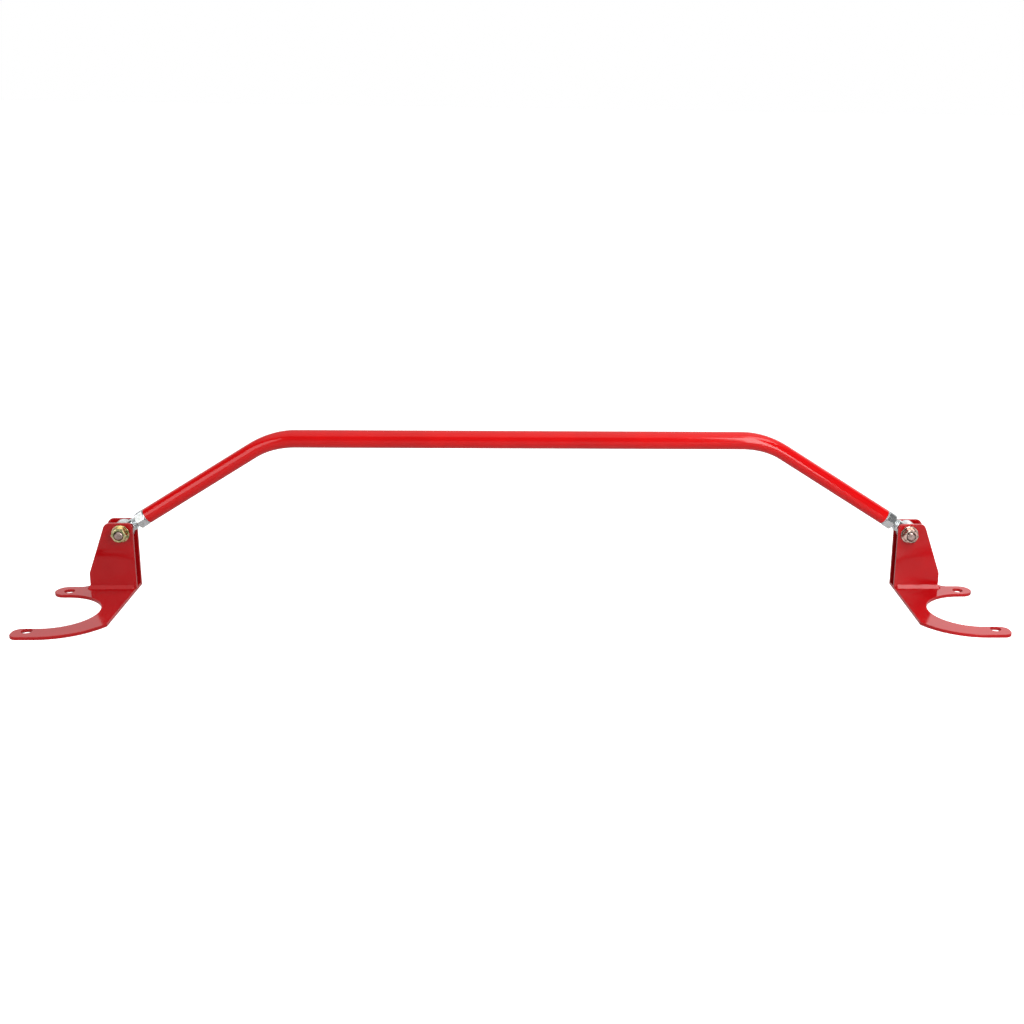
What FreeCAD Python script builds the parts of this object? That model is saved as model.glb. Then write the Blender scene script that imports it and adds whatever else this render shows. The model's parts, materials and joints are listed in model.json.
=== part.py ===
import FreeCAD, Part
import math
import os

# Upper strut brace for the front of a car: a bent steel bar that ties the two
# suspension towers together. Each end is a threaded eye held in a welded clevis
# bracket, and each bracket drops over two studs of its tower.
#
# Millimetres. +X to the car's left or right, +Z up, the mounting plane is Z = 0.
# Pieces are drawn for the +X side, with x counted outwards from the pivot bolt and
# y from the middle of the clevis; put() moves them to their place on both sides.

# ---- driving dimensions -------------------------------------------------------

# bar
pivot_half_span = 490.0     # from the middle of the bar to each pivot bolt
bar_rise = 118.0            # straight middle of the bar above the pivot bolts
corner_half_span = 303.0    # from the middle to where the bar's centre lines cross
bend_radius = 100.0         # of the centre line
bar_diameter = 22.0         # straight middle
leg_diameter = 19.5         # the tube is drawn slimmer through each bend
tube_wall = 2.0

# threaded end
thread_diameter = 12.0      # eye shank, lock nut and insert
thread_clearance = 0.05     # radial, in the nut and the insert
thread_chamfer = 1.2        # at the tip of the shank
eye_diameter = 26.0
eye_edge = 1.0              # chamfer round the eye's rims
eye_side_gap = 0.3          # each side, between the eye and an ear
shoulder_from_pivot = 18.0  # where the eye's neck ends and the thread starts
shoulder_diameter = 15.0
neck_flare = 0.8            # radial, the neck's root over the eye's half width
neck_side_gap = 0.1         # each side, the neck is pressed this much flatter than the eye
eye_length = 60.0           # from the pivot to the tip of the shank
lock_nut_from_pivot = 23.0
lock_nut_flats = 19.0
lock_nut_height = 12.0
lock_nut_gap = 0.2          # between the nut and the insert's collar
collar_thickness = 1.0
insert_length = 32.0        # inside the tube
insert_gap = 0.05           # radial, between the insert and the tube

# pivot bolt
bolt_diameter = 10.0
bolt_protrusion = 2.0       # past the nut
bolt_chamfer = 1.0
bolt_head_turn = 10.0       # degrees
bolt_clearance = 0.05       # radial, in the eye
hole_clearance = 0.25       # radial, in the ears, the washers and the nut
hex_flats = 17.0
hex_face = 0.96             # a hexagon's round end face, as a share of its flats
hex_chamfer_angle = 30.0
hex_chamfer_spare = 0.5     # the chamfer's cone runs this far past the corners
bolt_head_height = 6.4
nut_height = 8.0
washer_diameter = 22.0
washer_thickness = 2.0

# ears
plate_thickness = 4.0       # base plate and ears alike
clevis_gap = 16.0
pivot_height = 75.5         # above the mounting plane
ear_above_pivot = 12.8
ear_inner_offset = 14.5     # from the pivot to the ears' inner edges
ear_base_width = 56.5
ear_top_width = 33.5
ear_upright = 19.5          # height over which the outer edge stands upright
ear_inner_corner = 6.0
ear_outer_corner = 8.0
weld_leg = 4.0
weld_top = 0.4              # the bead's thickness where it ends on the ear
weld_start = 2.0            # the bead starts this far from the inner edge

# base plate
stud_circle = 128.0         # diameter through both stud holes
stud_turn = 3.4             # degrees between the holes' line and Y
stud_hole = 12.5
stud_land = 10.5            # the tower opening's radius is this much less
stud_shift_x = 6.3          # stud circle's centre, from the opening's centre
stud_shift_y = 2.9
web_width = 23.0            # from the inner edge to the opening
rear_prong_width = 28.5     # its tip is a full round
tip_flat = 0.02             # left between the two arcs of that round
front_prong_width = 25.5
rear_prong_reach = 20.0     # past the opening's centre
front_prong_reach = 26.5
front_tip_corner = 10.0
rim_extra = 29.5            # outer sweep's radius, over the opening's radius
rim_shift = 2.5             # the outer sweep's centre lies this much further in
back_step = 6.5             # the rear prong's back edge, in front of the clevis middle
rear_margin = 3.0           # plate behind the rear ear
root_margin = 1.0           # plate beyond the ears' outer edge
root_fillet = 13.0
plate_lean = 3.4            # the inner edge runs out this far towards the front
plate_corner = 3.0

# ---- derived ------------------------------------------------------------------

bar_height = pivot_height + bar_rise
leg_angle = math.atan2(bar_rise, pivot_half_span - corner_half_span)
leg_length = math.hypot(bar_rise, pivot_half_span - corner_half_span)
bend_tangent = bend_radius * math.tan(leg_angle / 2)
collar_from_pivot = lock_nut_from_pivot + lock_nut_height + lock_nut_gap
tube_from_pivot = collar_from_pivot + collar_thickness
thread_bore = thread_diameter / 2 + thread_clearance

ear_face = clevis_gap / 2
ear_back = ear_face + plate_thickness
ear_top = pivot_height + ear_above_pivot
inner_x = -ear_inner_offset
ear_outer_x = inner_x + ear_base_width

opening_radius = stud_circle / 2 - stud_land
opening_x = inner_x + web_width + opening_radius
opening_y = -(back_step + rear_prong_width + opening_radius)
rim_radius = opening_radius + rim_extra
front_y = opening_y - opening_radius - front_prong_width
rear_y = ear_back + rear_margin
head_y = ear_back + washer_thickness + bolt_head_height
bolt_length = 2 * (ear_back + washer_thickness) + nut_height + bolt_protrusion

clevis_y = -(front_y + max(rear_y, head_y)) / 2    # puts Y = 0 mid-way, front to back

thin = 0.01                 # smaller than any edge of a piece
UP = FreeCAD.Vector(0, 0, 1)
BACK = FreeCAD.Vector(0, 1, 0)
leg_out = FreeCAD.Vector(math.cos(leg_angle), 0, -math.sin(leg_angle))
pivot = FreeCAD.Vector(0, 0, pivot_height)


# ---- helpers ------------------------------------------------------------------

def vec(x, y, z=0.0):
    return FreeCAD.Vector(x, y, z)


def outline(points, plane):
    """Closed wire through (u, v, corner radius) points, arcs in the corners."""
    count = len(points)
    edges = []
    starts = []
    for i in range(count):
        here = vec(points[i][0], points[i][1])
        before = vec(points[i - 1][0], points[i - 1][1]) - here
        after = vec(points[(i + 1) % count][0], points[(i + 1) % count][1]) - here
        half_turn = before.getAngle(after) / 2
        radius = points[i][2]
        if radius == 0:
            starts.append((here, here))
            continue
        run = radius / math.tan(half_turn)
        first = here + before.normalize() * run
        last = here + after.normalize() * run
        middle_way = (before + after).normalize()
        centre = here + middle_way * (radius / math.sin(half_turn))
        edges.append(Part.Arc(plane(first), plane(centre - middle_way * radius), plane(last)).toShape())
        starts.append((first, last))
    for i in range(count):
        leave = starts[i][1]
        arrive = starts[(i + 1) % count][0]
        if leave.distanceToPoint(arrive) > 1e-6:
            edges.append(Part.LineSegment(plane(leave), plane(arrive)).toShape())
    return Part.Wire(Part.__sortEdges__(edges))


def flat(p):
    return vec(p.x, p.y, 0)


def hexagon(flats, height, corner):
    """Hex prism along +Z with a corner towards angle `corner`, both ends chamfered."""
    tip = flats / math.sqrt(3)
    face_radius = hex_face * flats / 2
    spread = tip - face_radius + hex_chamfer_spare
    slope_height = spread * math.tan(math.radians(hex_chamfer_angle))
    ring = [vec(tip * math.cos(corner + k * math.pi / 3), tip * math.sin(corner + k * math.pi / 3))
            for k in range(7)]
    prism = Part.Face(Part.makePolygon(ring)).extrude(vec(0, 0, height))
    lower = Part.makeCone(face_radius, face_radius + spread, slope_height)
    middle = Part.makeCylinder(face_radius + spread, height - 2 * slope_height, vec(0, 0, slope_height))
    upper = lower.mirror(vec(0, 0, height / 2), UP)
    return prism.common(lower.fuse([middle, upper])).removeSplitter()


def along(shape, base, direction):
    """Moves a shape drawn along +Z from the origin so that it runs from base in direction."""
    turned = shape.copy()
    turned.Placement = FreeCAD.Placement(base, FreeCAD.Rotation(UP, direction)) * shape.Placement
    return turned


def tip_edges(shape):
    """Edges round the far end of a shape drawn up +Z."""
    return [edge for edge in shape.Edges if edge.BoundBox.ZMin > shape.BoundBox.ZMax - thin]


def put(shape, side):
    """Places a +X side piece on the side given, +1 or -1."""
    moved = shape.copy()
    moved.translate(vec(pivot_half_span, clevis_y))
    if side < 0:
        moved = moved.mirror(vec(0, 0), vec(1, 0))
    return moved


def on_leg(shape):
    """Turns a shape drawn up +Z so that it runs from the pivot in along the bar's leg."""
    turned = shape.copy()
    lean = FreeCAD.Rotation(BACK, math.degrees(leg_angle) - 90)
    turned.Placement = FreeCAD.Placement(pivot, lean) * shape.Placement
    return turned


# ---- bar ----------------------------------------------------------------------

def bar_body(shrink):
    """Bar's solid round body, `shrink` smaller in radius, drawn whole about X = 0."""
    middle_radius = bar_diameter / 2 - shrink
    leg_radius = leg_diameter / 2 - shrink
    straight_half = corner_half_span - bend_tangent
    straight_end = vec(-straight_half, 0, bar_height)
    body = Part.makeCylinder(middle_radius, 2 * straight_half, straight_end, vec(1, 0))
    bend_start = vec(straight_half, 0, bar_height)
    bend_end = vec(corner_half_span, 0, bar_height) + leg_out * bend_tangent
    middle_turn = leg_angle / 2
    middle_out = bend_radius * math.sin(middle_turn)
    middle_drop = bend_radius * (1 - math.cos(middle_turn))
    bend_middle = bend_start + vec(middle_out, 0, -middle_drop)
    path = Part.Wire(Part.Arc(bend_start, bend_middle, bend_end).toShape())
    sweep = Part.BRepOffsetAPI.MakePipeShell(path)
    sweep.add(Part.Wire(Part.makeCircle(middle_radius, bend_start, vec(1, 0))))
    sweep.add(Part.Wire(Part.makeCircle(leg_radius, bend_end, leg_out)))
    sweep.build()
    sweep.makeSolid()
    bend = sweep.shape()
    leg_run = leg_length - bend_tangent - tube_from_pivot
    leg = Part.makeCylinder(leg_radius, leg_run, bend_end, leg_out)
    for side_part in (bend, leg):
        body = body.fuse(side_part)
        body = body.fuse(side_part.mirror(vec(0, 0), vec(1, 0)))
    return body


def bar_tube():
    tube = bar_body(0).cut(bar_body(tube_wall))
    tube.translate(vec(0, clevis_y))
    return tube


def thread_insert():
    collar = Part.makeCylinder(leg_diameter / 2, collar_thickness, vec(0, 0, collar_from_pivot))
    plug_radius = leg_diameter / 2 - tube_wall - insert_gap
    plug = Part.makeCylinder(plug_radius, insert_length, vec(0, 0, tube_from_pivot))
    bore = Part.makeCylinder(thread_bore, insert_length + collar_thickness, vec(0, 0, collar_from_pivot))
    return on_leg(collar.fuse(plug).cut(bore).removeSplitter())


# ---- threaded end -------------------------------------------------------------

def lock_nut():
    nut = hexagon(lock_nut_flats, lock_nut_height, math.pi / 2)
    nut = nut.cut(Part.makeCylinder(thread_bore, lock_nut_height))
    nut.translate(vec(0, 0, lock_nut_from_pivot))
    return on_leg(nut)


def eye_end():
    width = clevis_gap - 2 * eye_side_gap
    eye = Part.makeCylinder(eye_diameter / 2, width, vec(0, -width / 2, 0), BACK)
    eye = eye.makeChamfer(eye_edge, [edge for edge in eye.Edges if edge.Closed])
    neck = Part.makeCone(width / 2 + neck_flare, shoulder_diameter / 2, shoulder_from_pivot)
    neck_width = width - 2 * neck_side_gap
    slab_corner = vec(-eye_diameter, -neck_width / 2)
    neck = neck.common(Part.makeBox(2 * eye_diameter, neck_width, shoulder_from_pivot, slab_corner))
    shank = Part.makeCylinder(thread_diameter / 2, eye_length)
    shank = shank.makeChamfer(thread_chamfer, tip_edges(shank))
    bore = Part.makeCylinder(bolt_diameter / 2 + bolt_clearance, width, vec(0, -width / 2, 0), BACK)
    return on_leg(eye.fuse([neck, shank]).cut(bore).removeSplitter())


# ---- pivot bolt ---------------------------------------------------------------

def pivot_bolt():
    head = hexagon(hex_flats, bolt_head_height, math.radians(bolt_head_turn))
    shank = Part.makeCylinder(bolt_diameter / 2, bolt_length)
    shank = shank.makeChamfer(bolt_chamfer, tip_edges(shank))
    head.translate(vec(0, 0, -bolt_head_height))
    head_face = vec(0, ear_back + washer_thickness, pivot_height)
    return along(head.fuse(shank).removeSplitter(), head_face, -BACK)


def pivot_nut():
    nut = hexagon(hex_flats, nut_height, 0.0)
    nut = nut.cut(Part.makeCylinder(bolt_diameter / 2 + hole_clearance, nut_height))
    return along(nut, vec(0, -ear_back - washer_thickness, pivot_height), -BACK)


def washer(inner_face):
    ring = Part.makeCylinder(washer_diameter / 2, washer_thickness)
    ring = ring.cut(Part.makeCylinder(bolt_diameter / 2 + hole_clearance, washer_thickness))
    return along(ring, vec(0, inner_face, pivot_height), BACK * math.copysign(1, inner_face))


# ---- bracket ------------------------------------------------------------------

def ear(inner_face):
    """Upright ear whose face towards the eye lies at y = inner_face."""
    front = min(inner_face, inner_face + math.copysign(plate_thickness, inner_face))
    kink = plate_thickness + ear_upright
    shape = outline([
        (inner_x, plate_thickness, 0),
        (ear_outer_x, plate_thickness, 0),
        (ear_outer_x, kink, ear_outer_corner),
        (inner_x + ear_top_width, ear_top, ear_outer_corner),
        (inner_x, ear_top, ear_inner_corner),
    ], lambda p: vec(p.x, front, p.y))
    body = Part.Face(shape).extrude(BACK * plate_thickness)
    hole_radius = bolt_diameter / 2 + hole_clearance
    hole = Part.makeCylinder(hole_radius, plate_thickness, vec(0, front, pivot_height), BACK)
    return body.cut(hole)


def ear_weld(inner_face):
    """Fillet bead along an ear's foot and round its outer end."""
    way = math.copysign(1, inner_face)
    start = inner_x + weld_start
    outside = inner_face + way * plate_thickness

    def ring(reach, z):
        corners = [vec(start, inner_face, z), vec(ear_outer_x + reach, inner_face, z),
                   vec(ear_outer_x + reach, outside + way * reach, z), vec(start, outside + way * reach, z)]
        return Part.makePolygon(corners + corners[:1])

    foot = ring(weld_leg, plate_thickness)
    top = ring(weld_top, plate_thickness + weld_leg)
    skirt = Part.makeLoft([foot, top], True, True)
    return skirt.cut(ear(inner_face))


def base_plate():
    front_inner_x = inner_x + plate_lean
    rim_x = opening_x - rim_shift
    rim_y = front_y + rim_radius
    back_y = -back_step
    root_x = ear_outer_x + root_margin
    rear_tip = opening_x + rear_prong_reach
    front_tip = opening_x + front_prong_reach
    rear_round = (rear_prong_width - tip_flat) / 2
    blank = Part.Face(outline([
        (inner_x, rear_y, plate_corner),
        (root_x, rear_y, plate_corner),
        (root_x, back_y, root_fillet),
        (rear_tip, back_y, rear_round),
        (rear_tip, back_y - rear_prong_width, rear_round),
        (opening_x, back_y - rear_prong_width, 0),
        (opening_x, front_y + front_prong_width, 0),
        (front_tip, front_y + front_prong_width, front_tip_corner),
        (front_tip, front_y, front_tip_corner),
        (rim_x, front_y, 0),
        (front_inner_x, front_y, 0),
    ], flat)).extrude(UP * plate_thickness)
    opening = Part.makeCylinder(opening_radius, plate_thickness, vec(opening_x, opening_y))
    outside_rim = Part.makeBox(rim_radius, rim_radius, plate_thickness, vec(rim_x - rim_radius, front_y))
    sweep = Part.makeCylinder(rim_radius, plate_thickness, vec(rim_x, rim_y))
    plate = blank.cut(opening).cut(outside_rim.cut(sweep))
    middle_x = opening_x + stud_shift_x
    middle_y = opening_y + stud_shift_y
    turn = math.radians(stud_turn)
    for way in (1, -1):
        hole_x = middle_x - way * stud_circle / 2 * math.sin(turn)
        hole_y = middle_y + way * stud_circle / 2 * math.cos(turn)
        plate = plate.cut(Part.makeCylinder(stud_hole / 2, plate_thickness, vec(hole_x, hole_y)))
    front_corner = [edge for edge in plate.Edges
                    if edge.BoundBox.ZLength > plate_thickness - thin and edge.BoundBox.YMax < opening_y
                    and edge.BoundBox.XMax < opening_x - opening_radius]
    return plate.makeFillet(plate_corner, front_corner)


# ---- all the pieces -----------------------------------------------------------

side_pieces = {
    "thread_insert": thread_insert(),
    "lock_nut": lock_nut(),
    "eye_end": eye_end(),
    "pivot_bolt": pivot_bolt(),
    "pivot_nut": pivot_nut(),
    "head_washer": washer(ear_back),
    "nut_washer": washer(-ear_back),
    "front_ear": ear(-ear_face),
    "rear_ear": ear(ear_face),
    "front_ear_weld": ear_weld(-ear_face),
    "rear_ear_weld": ear_weld(ear_face),
    "base_plate": base_plate(),
}

os.makedirs("parts", exist_ok=True)
bar_tube().exportStep("parts/bar_tube.step")
for side_name, side in (("right", 1), ("left", -1)):
    for piece_name, piece in side_pieces.items():
        put(piece, side).exportStep("parts/" + side_name + "_" + piece_name + ".step")
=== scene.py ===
import bmesh
import bpy
import json
import math
import numpy as np
from mathutils import Matrix, Vector
from mathutils.geometry import tessellate_polygon


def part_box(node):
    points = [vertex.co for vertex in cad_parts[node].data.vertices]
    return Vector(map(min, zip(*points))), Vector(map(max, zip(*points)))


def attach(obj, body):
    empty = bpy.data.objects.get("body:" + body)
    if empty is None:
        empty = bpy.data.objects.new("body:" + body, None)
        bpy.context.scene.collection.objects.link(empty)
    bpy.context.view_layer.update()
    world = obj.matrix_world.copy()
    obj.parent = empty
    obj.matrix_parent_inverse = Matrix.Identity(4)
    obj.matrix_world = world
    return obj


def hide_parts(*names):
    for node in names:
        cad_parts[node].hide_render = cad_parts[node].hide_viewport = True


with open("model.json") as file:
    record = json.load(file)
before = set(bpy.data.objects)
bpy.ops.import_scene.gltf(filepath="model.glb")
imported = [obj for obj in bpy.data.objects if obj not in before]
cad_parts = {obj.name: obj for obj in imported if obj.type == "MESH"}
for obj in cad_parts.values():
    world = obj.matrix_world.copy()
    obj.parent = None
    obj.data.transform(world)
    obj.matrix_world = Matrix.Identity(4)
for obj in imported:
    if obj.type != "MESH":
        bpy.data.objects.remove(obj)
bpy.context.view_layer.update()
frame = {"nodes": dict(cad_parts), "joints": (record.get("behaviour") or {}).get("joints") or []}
mm = 0.001
sides = {"right": 1, "left": -1}
joints = {joint["name"]: joint for joint in frame["joints"]}
pivot = np.array(joints["right_bracket_swing"]["pos_m"]) / mm
legOut = np.array(joints["right_length_adjust"]["axis"])  # down the bar's right leg, outwards
legTurn = math.atan2(-legOut[2], legOut[0])
across = np.array([0.0, 1.0, 0.0])  # along the pivot bolts
upward = np.array([0.0, 0.0, 1.0])
creaseAngle = math.radians(38)  # edges sharper than this are shaded hard
seamGap = 2e-7                  # m; points nearer than this are one point
sliverEdge = 1e-8               # m
print("frame loaded with", len(frame["nodes"]), "nodes")


def boxOf(nodeName):
    low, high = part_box(nodeName)
    return np.array(low) / mm, np.array(high) / mm


# A skin is a pair: points in millimetres, one row each, and faces as rows of point numbers.
# Every shape below is drawn for the right-hand side and mirrored for the left.

def gridSkin(points, closedRows=False, closedColumns=True):
    # points has the shape (rows, columns, 3); neighbouring rows and columns are joined by quads
    rows, columns = points.shape[:2]
    row = np.arange(rows if closedRows else rows - 1)[:, None]
    column = np.arange(columns if closedColumns else columns - 1)[None, :]
    nextRow = (row + 1) % rows
    nextColumn = (column + 1) % columns
    corners = [row * columns + column, row * columns + nextColumn,
               nextRow * columns + nextColumn, nextRow * columns + column]
    faces = np.stack(np.broadcast_arrays(*corners), axis=-1).reshape(-1, 4)
    return points.reshape(-1, 3), faces


def volumeOf(skin):
    # sum over the faces' triangles of a . (b x c) / 6, positive when the faces point outwards
    points, faces = skin
    total = 0.0
    for k in range(1, faces.shape[1] - 1):
        a, b, c = points[faces[:, 0]], points[faces[:, k]], points[faces[:, k + 1]]
        total += np.einsum("ij,ij->i", a, np.cross(b, c)).sum() / 6
    return total


def placed(skin, origin, alongX, alongY, alongZ):
    # point = origin + x * alongX + y * alongY + z * alongZ
    axes = np.stack([np.asarray(alongX), np.asarray(alongY), np.asarray(alongZ)])
    return skin[0] @ axes + np.asarray(origin), skin[1]


def onLeg(skin):
    # a shape drawn up +Z from the pivot comes to lie along the bar's leg, inwards, its Y kept
    inward = -legOut
    return placed(skin, pivot, np.cross(across, inward), across, inward)


def onPivot(skin, y, towardsFront):
    # a shape drawn up +Z comes to lie along the pivot bolt, its base at the given y
    way = -across if towardsFront else across
    return placed(skin, [pivot[0], y, pivot[2]], np.cross(upward, way), upward, way)


def makePiece(name, skins, finish, body, replaced, mirror=False):
    pointList, faceList, start = [], [], 0
    for points, faces in skins:
        centred = (points - points.mean(0), faces)
        if volumeOf(centred) < 0:
            faces = faces[:, ::-1]
        if mirror:
            points = points * [-1, 1, 1]
            faces = faces[:, ::-1]
        pointList.append(points)
        faceList.extend((faces + start).tolist())
        start += len(points)
    mesh = bpy.data.meshes.new(name)
    mesh.from_pydata((np.concatenate(pointList) * mm).tolist(), [], faceList)
    closeSeams(mesh)
    mesh.polygons.foreach_set("use_smooth", np.ones(len(mesh.polygons), bool))
    mesh.set_sharp_from_angle(angle=creaseAngle)
    mesh.materials.append(finish["material"])
    piece = bpy.data.objects.new(name, mesh)
    bpy.context.scene.collection.objects.link(piece)
    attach(piece, body)
    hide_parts(replaced)
    return piece


def closeSeams(mesh):
    work = bmesh.new()
    work.from_mesh(mesh)
    bmesh.ops.remove_doubles(work, verts=work.verts, dist=seamGap)
    bmesh.ops.dissolve_degenerate(work, edges=work.edges, dist=sliverEdge)
    work.to_mesh(mesh)
    work.free()


# Materials

def linear(hexCode):
    # sRGB hex to linear: c / 12.92 below 0.04045, else ((c + 0.055) / 1.055) to the power 2.4
    values = np.array([int(hexCode[k:k + 2], 16) / 255 for k in (0, 2, 4)])
    curve = np.where(values <= 0.04045, values / 12.92, ((values + 0.055) / 1.055) ** 2.4)
    return (*curve.tolist(), 1.0)


def addNode(tree, kind, settings=None, inputs=None, stops=()):
    # settings are the node's own properties; inputs are values, or sockets to link from; stops are
    # a colour ramp's places and colours
    node = tree.nodes.new(kind)
    for key, value in (settings or {}).items():
        setattr(node, key, value)
    for key, value in (inputs or {}).items():
        if isinstance(value, bpy.types.NodeSocket):
            tree.links.new(value, node.inputs[key])
        else:
            node.inputs[key].default_value = value
    for k, (position, colour) in enumerate(stops):
        elements = node.color_ramp.elements
        element = elements[k] if k < len(elements) else elements.new(1.0)
        element.position = position
        element.color = colour
    return node


def grey(value):
    return (value, value, value, 1.0)


def startMaterial(name):
    material = bpy.data.materials.new(name)
    material.use_nodes = True
    tree = material.node_tree
    tree.nodes.clear()
    place = addNode(tree, "ShaderNodeTexCoord").outputs["Object"]
    return material, tree, place


powderCoat = {
    "bar": ("C90A0C", "C0090B"),       # full and thin coat of the bar
    # the brackets' pair is the bar's red made darker: painted shade, for the brackets sit low by the floor
    # and get less light
    "brackets": ("AC0A10", "A2090E"),
    "tone": 45.0,          # mm between lighter and darker areas
    "toneEnds": (0.3, 0.7),  # noise values where the tone is fully thin and fully full
    "peel": 5.0,           # mm from crest to crest; real orange peel is about 1.5, drawn coarser to show
    "peelHeight": 0.012,   # mm
    "roughness": (0.07, 0.13),
    "ior": 1.37,
}


def glossRedPowderCoat(batch):
    # Gloss polyester powder baked on steel: one thick, saturated, mirror-like skin with a
    # faint orange-peel wave that breaks up the edges of its reflections.
    fullColour, thinColour = powderCoat[batch]
    material, tree, place = startMaterial("glossRedPowderCoat_" + batch)
    tone = addNode(tree, "ShaderNodeTexNoise", inputs={
        "Vector": place, "Scale": 1 / (powderCoat["tone"] * mm), "Detail": 2.0})
    thinAt, fullAt = powderCoat["toneEnds"]
    colour = addNode(tree, "ShaderNodeValToRGB", inputs={"Fac": tone.outputs["Fac"]},
                     stops=[(thinAt, linear(thinColour)), (fullAt, linear(fullColour))])
    peel = addNode(tree, "ShaderNodeTexNoise", inputs={
        "Vector": place, "Scale": 1 / (powderCoat["peel"] * mm), "Detail": 1.0, "Roughness": 0.4})
    wave = addNode(tree, "ShaderNodeBump", inputs={
        "Height": peel.outputs["Fac"], "Distance": powderCoat["peelHeight"] * mm, "Strength": 1.0})
    low, high = powderCoat["roughness"]
    gloss = addNode(tree, "ShaderNodeMapRange", inputs={
        "Value": tone.outputs["Fac"], "From Min": thinAt, "From Max": fullAt,
        "To Min": low, "To Max": high})
    shader = addNode(tree, "ShaderNodeBsdfPrincipled", inputs={
        "Base Color": colour.outputs["Color"], "Roughness": gloss.outputs["Result"],
        "Normal": wave.outputs["Normal"], "IOR": powderCoat["ior"]})
    addNode(tree, "ShaderNodeOutputMaterial", inputs={"Surface": shader.outputs["BSDF"]})
    return {"material": material, "slot": "red_coat"}


brightZinc = {
    "bright": ("D9DDE2", "C4C8C4"),
    "roseGrey": ("B7A09A", "8E7C76"),      # a bolt's end in rose grey
    "mottle": 3.0,         # mm between patches
    "mottleEnds": (0.35, 0.65),
    "grain": 0.9,          # mm between fine scuffs; real ones are 0.2, drawn coarser to show
    "grainDepth": 0.01,    # mm
    "roughness": (0.16, 0.34),
    "roughnessEnds": (0.3, 0.7),
}


def brightZincPlate(state):
    # Steel dipped in a bright zinc bath: a pale, slightly bluish metal, mirror-like in
    # patches and satin where the barrel has scuffed it.
    paleColour, dullColour = brightZinc[state]
    material, tree, place = startMaterial("zincPlate_" + state)
    mottle = addNode(tree, "ShaderNodeTexNoise", inputs={
        "Vector": place, "Scale": 1 / (brightZinc["mottle"] * mm), "Detail": 3.0})
    dullAt, paleAt = brightZinc["mottleEnds"]
    colour = addNode(tree, "ShaderNodeValToRGB", inputs={"Fac": mottle.outputs["Fac"]},
                     stops=[(dullAt, linear(dullColour)), (paleAt, linear(paleColour))])
    low, high = brightZinc["roughness"]
    roughAt, smoothAt = brightZinc["roughnessEnds"]
    gloss = addNode(tree, "ShaderNodeMapRange", inputs={
        "Value": mottle.outputs["Fac"], "From Min": roughAt, "From Max": smoothAt,
        "To Min": high, "To Max": low})
    scuffs = addNode(tree, "ShaderNodeTexNoise", inputs={
        "Vector": place, "Scale": 1 / (brightZinc["grain"] * mm), "Detail": 2.0})
    wave = addNode(tree, "ShaderNodeBump", inputs={
        "Height": scuffs.outputs["Fac"], "Distance": brightZinc["grainDepth"] * mm, "Strength": 0.6})
    shader = addNode(tree, "ShaderNodeBsdfPrincipled", inputs={
        "Base Color": colour.outputs["Color"], "Roughness": gloss.outputs["Result"],
        "Normal": wave.outputs["Normal"], "Metallic": 1.0})
    addNode(tree, "ShaderNodeOutputMaterial", inputs={"Surface": shader.outputs["BSDF"]})
    return {"material": material, "slot": "zinc_steel"}


yellowZinc = {
    "left": ("8C9368", "D2C494", "C9A796"),    # thin, middling and thick film: olive, gold, rose
    "right": ("6A544B", "C2AEA2", "DDB8AE"),   # the right-hand pair is given rose-grey films
    "patch": 4.5,          # mm between colour patches
    "filmStops": (0.36, 0.5, 0.66),  # noise values of the thin, middling and thick film
    "grain": 0.8,          # mm between fine scuffs; real ones are 0.2, drawn coarser to show
    "grainDepth": 0.01,    # mm
    "roughness": (0.12, 0.28),
    "roughnessEnds": (0.3, 0.7),
}


def yellowZincPlate(sideName):
    # Zinc plate with a yellow chromate dip: gold metal that slides to olive green in patches
    # where the film is thin, and to rose where it is thick.
    material, tree, place = startMaterial("yellowZincPlate_" + sideName)
    patch = addNode(tree, "ShaderNodeTexNoise", inputs={
        "Vector": place, "Scale": 1 / (yellowZinc["patch"] * mm), "Detail": 2.0, "Distortion": 0.6})
    films = [linear(hexCode) for hexCode in yellowZinc[sideName]]
    colour = addNode(tree, "ShaderNodeValToRGB", inputs={"Fac": patch.outputs["Fac"]},
                     stops=list(zip(yellowZinc["filmStops"], films)))
    low, high = yellowZinc["roughness"]
    roughAt, smoothAt = yellowZinc["roughnessEnds"]
    gloss = addNode(tree, "ShaderNodeMapRange", inputs={
        "Value": patch.outputs["Fac"], "From Min": roughAt, "From Max": smoothAt,
        "To Min": high, "To Max": low})
    scuffs = addNode(tree, "ShaderNodeTexNoise", inputs={
        "Vector": place, "Scale": 1 / (yellowZinc["grain"] * mm), "Detail": 2.0})
    wave = addNode(tree, "ShaderNodeBump", inputs={
        "Height": scuffs.outputs["Fac"], "Distance": yellowZinc["grainDepth"] * mm, "Strength": 0.5})
    shader = addNode(tree, "ShaderNodeBsdfPrincipled", inputs={
        "Base Color": colour.outputs["Color"], "Roughness": gloss.outputs["Result"],
        "Normal": wave.outputs["Normal"], "Metallic": 1.0})
    addNode(tree, "ShaderNodeOutputMaterial", inputs={"Surface": shader.outputs["BSDF"]})
    return {"material": material, "slot": "yellow_zinc"}


barCoat = glossRedPowderCoat("bar")
# the brackets get a darker copy of the bar's red: painted shade
shadedBracketCoat = glossRedPowderCoat("brackets")
zinc = brightZincPlate("bright")
boltZinc = brightZincPlate("roseGrey")
yellow = {sideName: yellowZincPlate(sideName) for sideName in sides}
print("six finishes mixed")


# Curves and profiles

def arc(centre, radius, fromTurn, toTurn, step=3.0):
    # points at centre + radius * (cos, sin) from one angle to the other, in degrees
    count = max(2, int(math.ceil(abs(toTurn - fromTurn) / step)) + 1)
    turn = np.radians(np.linspace(fromTurn, toTurn, count))
    return np.stack([centre[0] + radius * np.cos(turn), centre[1] + radius * np.sin(turn)], axis=-1)


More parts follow.
